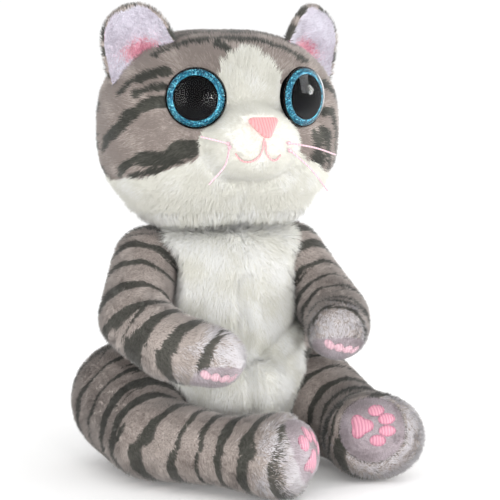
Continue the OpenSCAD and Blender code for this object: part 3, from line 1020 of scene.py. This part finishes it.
def tube(points, radii, sides=8):
    """Vertices and faces of a closed tube along points."""
    points = np.array(points, float)
    radii = np.broadcast_to(np.array(radii, float), (len(points),))
    way = unit(np.gradient(points, axis=0))
    side = unit(np.cross(way[0], (0.3, 0.2, 1.0) if abs(way[0][2]) < 0.9 else (1, 0.2, 0)))
    a = np.linspace(0, 2 * math.pi, sides, endpoint=False)
    rings = []
    for p, w, r in zip(points, way, radii):
        side = unit(side - w * (side @ w))
        other = np.cross(w, side)
        rings.append(p + r * (np.outer(np.cos(a), side) + np.outer(np.sin(a), other)))
    v = np.concatenate(rings + [points[:1] - way[:1] * radii[0] * 0.6, points[-1:] + way[-1:] * radii[-1] * 0.6])
    faces = between_rings(len(points), sides) + cap(0, sides, len(v) - 2, flip=True)
    return v, faces + cap((len(points) - 1) * sides, sides, len(v) - 1)


def joined(parts):
    """Several (vertices, faces) as one."""
    all_v, all_f, base = [], [], 0
    for v, f in parts:
        all_v.append(np.asarray(v, float))
        all_f += [tuple(base + i for i in face) for face in f]
        base += len(v)
    return np.concatenate(all_v), all_f


def made(name, body, parts, mat, replaced=(), slot=None):
    v, f = joined(parts)
    return belongs(finished(name, mesh_from(name, v, f)), body, mat, replaced)


def belongs(obj, body, mat, replaced=()):
    obj.data.materials.clear()
    obj.data.materials.append(mat)
    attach(obj, body)
    if replaced:
        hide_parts(*replaced)
    return obj


def onto(body, start, way):
    """Where a ray meets a body's skin, and the skin's direction there."""
    hit = skins[body].bvh.ray_cast(Vector(start), Vector(way).normalized())
    return np.array(hit[0]), np.array(hit[1])


def onto_face(x, z):
    return onto("head", HEAD + (x, -80, z), (0, 1, 0))


def thread_material(name, colour, dark):
    """Satin stitch, whose threads show as fine lines."""
    mat, tree, shader = material(name, colour, 0.42, Sheen_Weight=0.2, Specular_IOR_Level=0.4)
    wave = texture(tree, "ShaderNodeTexWave", Scale=275.0, Distortion=1.5, Detail=1.0)
    tree.links.new(ramp(tree, wave.outputs["Fac"], [(0.05, dark), (0.5, colour)]), shader.inputs["Base Color"])
    bumped(tree, shader, wave.outputs["Fac"], 0.6, 0.3)
    return mat


NOSE_PINK = thread_material("nose_satin", (0.82, 0.36, 0.37), (0.72, 0.27, 0.28))
PAD_PINK = thread_material("pad_satin", (0.72, 0.33, 0.42), (0.58, 0.22, 0.31))
PALM_PINK = thread_material("palm_satin", (0.76, 0.50, 0.56), (0.66, 0.40, 0.47))
PAD_EDGE = thread_material("pad_edge", (0.60, 0.24, 0.33), (0.46, 0.16, 0.24))
MOUTH_PINK = thread_material("mouth_thread", (0.84, 0.46, 0.47), (0.74, 0.36, 0.38))
WHISKER_PINK = thread_material("whisker_thread", (0.84, 0.58, 0.64), (0.74, 0.46, 0.53))
GREY_THREAD = thread_material("closing_thread", (0.40, 0.33, 0.31), (0.30, 0.25, 0.23))

black, tree, shader = material("black_plastic", (0.002, 0.002, 0.003), 0.3, Specular_IOR_Level=0.0)
tree.links.new(ramp(tree, noise(tree, 60), [(0.3, (0.001, 0.001, 0.001)), (0.7, (0.003, 0.003, 0.004))]),
               shader.inputs["Base Color"])
glitter, tree, shader = material("glitter_blue", (0.02, 0.25, 0.42), 0.3, Metallic=0.6)
flake = texture(tree, "ShaderNodeTexVoronoi", Scale=2600.0)
grey = node(tree, "ShaderNodeSeparateColor")
tree.links.new(flake.outputs["Color"], grey.inputs["Color"])
tree.links.new(ramp(tree, grey.outputs["Red"], [(0.0, (0.0, 0.03, 0.07)), (0.5, (0.004, 0.13, 0.22)),
                                                (0.8, (0.02, 0.30, 0.44)), (0.95, (0.25, 0.76, 0.90))]),
               shader.inputs["Base Color"])
bumped(tree, shader, grey.outputs["Green"], 0.9, 0.25)
clear, tree, shader = material("clear_plastic", (0.98, 0.99, 1.0), 0.015, Transmission_Weight=1.0, IOR=1.15)
scratch = node(tree, "ShaderNodeMapRange", To_Min=0.01, To_Max=0.03)
tree.links.new(noise(tree, 200), scratch.inputs["Value"])
tree.links.new(scratch.outputs["Result"], shader.inputs["Roughness"])


# Half sections of an eye, as (radius, height) over the head's skin.
R = EYE_RADIUS
DOME = [(R - 0.35, 1.15)] + [(R * math.cos(a) ** 0.9, 1.2 + 5.0 * math.sin(a))
                             for a in np.linspace(0, math.pi / 2, 16)[:-1]]
DOME += [(0.0, 6.2), (0.0, 2.75), (9.4, 2.75), (11.4, 1.9), (11.9, 1.15)]
RIM = [(R - 0.9 + 0.95 * math.cos(a), 0.45 + 0.75 * math.sin(a)) for a in np.linspace(0, 2 * math.pi, 14)[:-1]]
# The back tapers into the head, so that the top of the eye doesn't stand clear of the sloping forehead.
STEM = [(0.0, 1.0), (R - 0.9, 1.0), (R - 0.9, -0.3), (R - 1.7, -2.0), (R - 3.2, -4.2), (R - 5.6, -5.8),
        (2.4, -6.4), (2.4, -14.0), (0.0, -14.0)]
IRIS = [(8.6, 2.3), (9.6, 2.3), (11.3, 1.5), (11.3, 1.1), (8.6, 1.1)]
PUPIL = [(0.0, 2.6), (8.4, 2.6), (8.9, 2.4), (8.9, 1.1), (0.0, 1.1)]
for side, s in SIDES.items():
    turn = Matrix.Rotation(math.radians(27 * s), 4, "Z") @ Matrix.Rotation(math.radians(90), 4, "X")
    at = Matrix.Translation(Vector(HEAD + (EYE_OUT * s, -35, EYE_UP))) @ turn
    belongs(lathe(f"eye_dome_{side}", DOME, at), "head", clear, [f"eye_lens_{side}"])
    belongs(lathe(f"eye_rim_{side}", RIM, at), "head", black)
    belongs(lathe(f"eye_back_{side}", STEM, at), "head", black, [f"eye_base_{side}"])
    belongs(lathe(f"eye_glitter_{side}", IRIS, at), "head", glitter, [f"eye_iris_{side}"])
    belongs(lathe(f"eye_black_{side}", PUPIL, at), "head", black, [f"eye_pupil_{side}"])


# The nose is its CAD solid with the edges rounded off, a little wider and flatter.
nose = voxelled(new_object("nose_embroidery", frame["nodes"]["nose"].data.copy()), 0.3)
v, _, e = arrays(nose)
v = relaxed(v, e, 8)
set_points(nose, v.mean(0) + (v - v.mean(0)) * (1.06, 1, 0.74) + np.array((0, -0.6, -0.4)))
shaded_smooth(nose)
belongs(new_object("nose_embroidery", nose), "head", NOSE_PINK, ["nose"])

# The mouth is a row of slanting stitches that lie in the muzzle's pile.
line = arc(MOUTH, 10)
stitches = []
gone = np.concatenate([[0], np.cumsum(np.linalg.norm(np.diff(line, axis=0), axis=1))])
for start in np.arange(0, gone[-1] - 1.2, 1.5):
    ends = []
    for d in (start, start + 2.3):
        point, out = onto_face(*(np.interp(min(d, gone[-1]), gone, line[:, i]) for i in (0, 2)))
        ends.append(point + out * 1.1)
    middle = (ends[0] + ends[1]) / 2 + (0, -0.25, 0)
    stitches.append(tube([ends[0], middle, ends[1]], [0.28, 0.38, 0.28], 8))
made("mouth_stitching", "head", stitches, MOUTH_PINK, ["mouth_stitches"])

# Whiskers: stiff waxed threads, knotted where they leave the muzzle.
WHISKERS = {
    "right": [((-13.5, -4.0), [(-21, -57, -2.6), (-29, -57, -0.6)]),
              ((-13.0, -5.4), [(-19.5, -58, -12), (-25.5, -56.5, -19.2)])],
    "left": [((10.8, -4.2), [(22, -51, -6.2), (34.5, -43, -9.6)]),
             ((11.4, -7.0), [(20, -51, -14.5), (31, -43, -24)])],
}
for side, pair in WHISKERS.items():
    parts = []
    for (x, z), rest in pair:
        point, out = onto_face(x, z)
        points = arc([point - out * 1.0 - HEAD, point + out * 1.2 - HEAD] + rest, 8) + HEAD
        parts.append(tube(points, np.linspace(0.46, 0.34, len(points)), 8))
        ball = [point + out * h for h in (0.2, 0.7, 1.3, 1.8)]
        parts.append(tube(ball, [0.5, 0.85, 0.85, 0.5], 8))
    made(f"whisker_threads_{side}", "head", parts, WHISKER_PINK, [f"whiskers_{side}"])


def pad_parts(body, middle, out, ahead, outline, height):
    """A raised satin pad with a corded edge, draped on a body's skin."""
    across = unit(np.cross(ahead, out))
    angle = np.linspace(0, 2 * math.pi, 40, endpoint=False)
    reach = outline(angle)

    def drape(share, lift):
        ring_points = []
        for a, r in zip(angle, reach):
            flat = middle + across * (r * share * math.cos(a)) + ahead * (r * share * math.sin(a))
            point, _ = onto(body, flat + out * 12, -out)
            ring_points.append(point + out * lift)
        return np.array(ring_points)

    shares = [(1.0, 0.2), (0.97, 1.1), (0.85, 1.6), (0.6, 1.85), (0.3, 1.95)]
    rings = [drape(share, height * lift) for share, lift in shares]
    top, _ = onto(body, middle + out * 12, -out)
    v = np.concatenate(rings + [[top + out * height * 2.0], [top - out * 0.3]])
    n = len(angle)
    faces = between_rings(len(rings), n) + cap((len(rings) - 1) * n, n, len(v) - 2) + cap(0, n, len(v) - 1, flip=True)
    edge = drape(1.0, height * 0.9)
    loop = np.concatenate([edge, edge[:3]])
    return (v, faces), tube(loop, 0.3, 6)


def oval(across, ahead):
    return lambda a: 1 / np.sqrt((np.cos(a) / across) ** 2 + (np.sin(a) / ahead) ** 2)


def three_lobed(a):
    return 4.1 * (1 + 0.22 * np.cos(3 * (a - math.pi / 2)))


def embroider(limb, side):
    """The satin pads of a palm or a sole, where their CAD solids are. The largest of a sole is its middle one."""
    sole = limb == "leg"
    node_name = f"{'sole' if sole else 'palm'}_pads_{side}"
    body = f"{limb}_{side}"
    v, _, e = arrays(frame["nodes"][node_name].data)
    label = islands(v, e)
    groups = [v[label == n] for n in np.unique(label)]
    groups = [g for g in groups if len(g) > 6]
    spots = np.array([(g.min(0) + g.max(0)) / 2 for g in groups])
    order = np.argsort([-np.linalg.norm(np.ptp(g, axis=0)) for g in groups])
    out = patches[body][1]
    ahead = spots[order[1:]].mean(0) - spots[order[0]] if sole else spots[order[0]] - spots[order[-1]]
    ahead = unit(ahead - out * (ahead @ out))
    pads, edges = [], []
    for i in order:
        outline = (three_lobed if i == order[0] else oval(2.0, 3.0)) if sole else oval(1.5, 1.7)
        pad, edge = pad_parts(body, spots[i], out, ahead, outline, 0.55)
        pads.append(pad)
        edges.append(edge)
    made(f"{limb}_pads_{side}", body, pads, PAD_PINK if sole else PALM_PINK, [node_name])
    made(f"{limb}_pad_edges_{side}", body, edges, PAD_EDGE if sole else PALM_PINK, slot=frame_slot(node_name))


for side in SIDES:
    embroider("arm", side)
    embroider("leg", side)

# Ladder stitches close the seam down the back.
parts = []
for z in np.arange(24, 50, 4.2):
    ends = []
    for x, up_by in ((-2.0, 0), (2.0, 1.6)):
        point, out = onto("torso", (x, 90, z + up_by), (0, -1, 0))
        ends.append(point + out * 1.2)
    a, b = ends
    parts.append(tube([a - (0, 1.4, 0), a, (a + b) / 2 + (0, 0.3, 0), b, b - (0, 1.4, 0)], 0.38, 6))
made("closing_stitches", "torso", parts, GREY_THREAD, ["closure_stitches"])

# ---- Ears -----------------------------------------------------------------------------------


def ear_frame(s):
    turn = Matrix.Rotation(math.radians(20 * s), 4, "Y") @ Matrix.Rotation(math.radians(24 * s), 4, "Z")
    return Matrix.Translation(Vector(HEAD + (33.6 * s, -7, 25.6))) @ turn


EAR_TIP, EAR_WIDE, EAR_THICK = 26.0, 15.8, 4.6


def ear_half(z):
    """Half an ear's width at a height above its root."""
    taper = 1 - 0.1 * np.clip((z - 2) / 11, 0, 1)
    return EAR_WIDE * taper * np.sqrt(np.clip(1 - (np.clip(z - 11, 0, None) / (EAR_TIP - 11)) ** 2, 0, 1))


def ear_depth(x, z):
    """How far back the middle of an ear's thickness lies."""
    return 2.6 - 7.0 * (x / EAR_WIDE) ** 2 - 2.4 * (z / EAR_TIP) ** 2


def ear_skin(s):
    """A cupped ear as a closed skin, cut off just above the head."""
    at = ear_frame(s)
    down = at.to_3x3() @ Vector((0, 0, -1))
    around = np.linspace(0, 2 * math.pi, 44, endpoint=False)
    n, count = len(around), 25
    c, d = np.sin(around), np.cos(around)
    shell = EAR_THICK / 2 * (np.sign(d) * np.abs(d) ** 0.7)
    above = 24.0  # where the search for the head's skin starts
    root = []
    for k in range(n):
        x = ear_half(8.0) * c[k]
        start = placed(np.array([[x, ear_depth(x, 0.0) + shell[k], above]]), at)[0]
        hit = skins["head"].bvh.ray_cast(Vector(start), down)
        root.append(above - hit[3] + 1.3 if hit[0] is not None else -9.0)
    root = np.clip(np.array(root), -13, 14)
    rings = []
    for share in np.linspace(0, 1, count + 1)[:-1] ** 0.9:
        z = root + (EAR_TIP - root) * share
        w = ear_half(z)
        x = w * c
        rings.append(np.stack([x, ear_depth(x, z) + shell * np.clip(w / 7, 0.15, 1), z], -1))
    tip = [[0.0, ear_depth(0, EAR_TIP), EAR_TIP]]
    v = np.concatenate(rings + [tip, rings[0].mean(0, keepdims=True) + (0, 0, 1.0)])
    faces = between_rings(count, n) + cap((count - 1) * n, n, count * n) + cap(0, n, count * n + 1, flip=True)
    return Skin(modified(finished("ear", mesh_from("ear", placed(v, at), faces)), "SUBSURF", levels=1))


def coat_ear(s):
    back = np.array(ear_frame(s).inverted())

    def coat(p):
        q = placed(p, back)
        x, y, z = q.T
        lining = (y < ear_depth(x, z)) & (np.abs(x) < ear_half(z) - 0.9) & (z < EAR_TIP - 1.6)
        stripe = bands(z * 0.9 + 0.3 * x, p, 81, 9.5, 1.6)
        blush = np.exp(-((x / 8.5) ** 2) - ((z - 7) / 5.0) ** 2)
        return np.where(lining, CREAM, GREY), np.where(lining, blush * 0.95, stripe)

    return coat


def ear_tones(zone, dark):
    return ("rose" if dark else "lilac") if zone == CREAM else ("stripe" if dark else "taupe")


def only(zone_wanted, tall):
    return lambda p, zone: np.where(zone == zone_wanted, tall, 0.0)


def bends_at_root(piece, side, s):
    """The ear is sewn to the head: the piece is taken off the ear's body and left fixed where it stands, its
    placement baked into its mesh.
    """
    away = unit(np.array([0.6 * s, 0.0, 0.8]))
    point, out = onto("head", EAR_ROOT[side] + 40 * away, -away)
    # covered and grow had it ride on the ear alone, which is undone here.
    piece.parent = None
    piece.matrix_world = Matrix.Identity(4)
    del piece["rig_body"]
    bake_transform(piece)


for side, s in SIDES.items():
    body = f"ear_{side}"
    skins[body], coats[body] = ear_skin(s), coat_ear(s)
    zone, _ = face_zone(body)
    ear = [covered(body, f"ear_skin_{side}", zone == GREY, [f"ear_back_{side}"], "grey_backing"),
           covered(body, f"ear_lining_skin_{side}", zone == CREAM, [f"ear_lining_{side}"], "lining_backing")]
    comb = straight(ear_frame(s).to_3x3() @ Vector((0, 0, 1)))
    ear += grow(f"{body}_pile", body, skins[body], coats[body], ear_tones, only(GREY, 2.2), 6.0, comb, others("head"),
                bend=(35, 66), width=0.36)
    ear += grow(f"{body}_velvet", body, skins[body], coats[body], ear_tones, only(CREAM, 1.7), 8.0, comb,
                others("head"), bend=(30, 60), width=0.36)
    for piece in ear:
        bends_at_root(piece, side, s)

# ---- What lies inside -----------------------------------------------------------------------


def inner_material(name, colour, dark, scale, rough=0.9, cells=False):
    mat, tree, shader = material(name, colour, rough)
    if cells:
        height = texture(tree, "ShaderNodeTexVoronoi", Scale=scale).outputs["Distance"]
    else:
        height = noise(tree, scale, 5, 0.7)
    tree.links.new(ramp(tree, height, [(0.3, dark), (0.7, colour)]), shader.inputs["Base Color"])
    bumped(tree, shader, height, 0.7, 0.8)
    return mat


INNER = {
    "stuffing": inner_material("fibre_filling", (0.86, 0.86, 0.84), (0.62, 0.62, 0.60), 420),
    "bag": inner_material("bag_cloth", (0.80, 0.79, 0.74), (0.60, 0.59, 0.54), 1500),
    "pellet_fill": inner_material("plastic_pellets", (0.75, 0.72, 0.62), (0.35, 0.33, 0.27), 380, 0.45, True),
    "washer": inner_material("washer_plastic", (0.80, 0.80, 0.78), (0.68, 0.68, 0.66), 90, 0.35),
}


def filling(name, body, replaced, cut=None, inset=1.7, mat="stuffing"):
    """A body's filling: its skin set in and left lumpy, and cut flat at a point, with what lies one way kept."""
    skin = skins[body]
    mesh = outermost(voxelled(new_object(name, mesh_from(name, skin.v - skin.n * inset, skin.t)), 2.6))
    v, _, e = arrays(mesh)
    v = relaxed(v, e, 3)
    set_points(mesh, v)
    set_points(mesh, v - normals(mesh) * (0.25 + 0.25 * wobble(v, 9, 90))[:, None])
    bm = bmesh.new()
    bm.from_mesh(mesh)
    if cut:
        point, way = cut
        found = bmesh.ops.bisect_plane(bm, geom=bm.verts[:] + bm.edges[:] + bm.faces[:], plane_co=Vector(point) * MM,
                                       plane_no=-Vector(way), clear_outer=True)
        rim = [g for g in found["geom_cut"] if isinstance(g, bmesh.types.BMEdge)]
        bmesh.ops.triangle_fill(bm, edges=rim, use_beauty=True)
    bmesh.ops.recalc_face_normals(bm, faces=bm.faces)
    bm.to_mesh(mesh)
    bm.free()
    shaded_smooth(mesh)
    return belongs(new_object(name, mesh), body, INNER[mat], [replaced])


FACE = HEAD + (0, -40.2, 0)
filling("torso_filling", "torso", "body_stuffing", ((0, 0, 28.2), (0, 0, 1)))
filling("bag_of_pellets", "torso", "pellet_bag", ((0, 0, 27.8), (0, 0, -1)), mat="bag")
filling("pellets", "torso", "pellet_fill", ((0, 0, 26.8), (0, 0, -1)), 2.9, "pellet_fill")
filling("head_filling", "head", "head_stuffing", (FACE + (0, 0.4, 0), (0, 1, 0)))
filling("muzzle_filling", "head", "muzzle_stuffing", (FACE, (0, -1, 0)))
filling("neck_filling", "neck", "neck_stuffing")
filling("tail_filling", "tail", "tail_stuffing")
for side in SIDES:
    for limb in ("arm", "leg"):
        filling(f"{limb}_filling_{side}", f"{limb}_{side}", f"{limb}_stuffing_{side}")
for name, solid in frame["nodes"].items():
    for key, mat in INNER.items():
        if key in name:
            solid.data.materials.clear()
            solid.data.materials.append(mat)

# ---- Stage ----------------------------------------------------------------------------------
bm = bmesh.new()
bmesh.ops.create_grid(bm, x_segments=1, y_segments=1, size=4)
floor = new_object("floor", bpy.data.meshes.new("floor"))
bm.to_mesh(floor.data)
bm.free()
floor.data.materials.append(
    material("floor", (0.98, 0.98, 0.98), 0.8, Emission_Color=(1, 1, 1, 1), Emission_Strength=0.08)[0])


def lamp(name, at, aim, power, size):
    light = bpy.data.lights.new(name, "AREA")
    light.energy = power
    light.size = size
    obj = new_object(name, light)
    obj.location = at
    obj.rotation_euler = (Vector(aim) - Vector(at)).to_track_quat("-Z", "Y").to_euler()


lamp("key", (-0.05, -1.1, 0.16), (0, -0.02, 0.06), 2.4, 0.12)
lamp("window", (0.95, -0.3, 0.25), (0, -0.02, 0.09), 3.6, 0.16)
lamp("fill", (-0.85, -0.6, 0.12), (0, -0.02, 0.04), 2.4, 0.5)
lamp("low", (-0.2, -0.95, 0.03), (0, -0.03, 0.04), 2.5, 0.4)

world = bpy.data.worlds.new("studio")
world.use_nodes = True
world.node_tree.nodes["Background"].inputs["Color"].default_value = (1, 1, 1, 1)
world.node_tree.nodes["Background"].inputs["Strength"].default_value = 1.04
scene.world = world
scene.view_settings.view_transform = "Standard"

# The camera stands 0.85 m from the middle of the seat and aims at the middle of the cat.
AZIMUTH, RISE, AWAY = math.radians(-21), math.radians(12), 0.85
back = Vector((math.sin(AZIMUTH) * math.cos(RISE), -math.cos(AZIMUTH) * math.cos(RISE), math.sin(RISE)))
right = Vector((math.cos(AZIMUTH), math.sin(AZIMUTH), 0))
up = back.cross(right)
camera = new_object("camera", bpy.data.cameras.new("camera"))
camera.location = back * AWAY
aim = right * 0.0161 + up * 0.0891
camera.rotation_euler = (aim - camera.location).to_track_quat("-Z", "Y").to_euler()
camera.data.lens = 142.0
camera.data.sensor_width = 36.0
scene.camera = camera
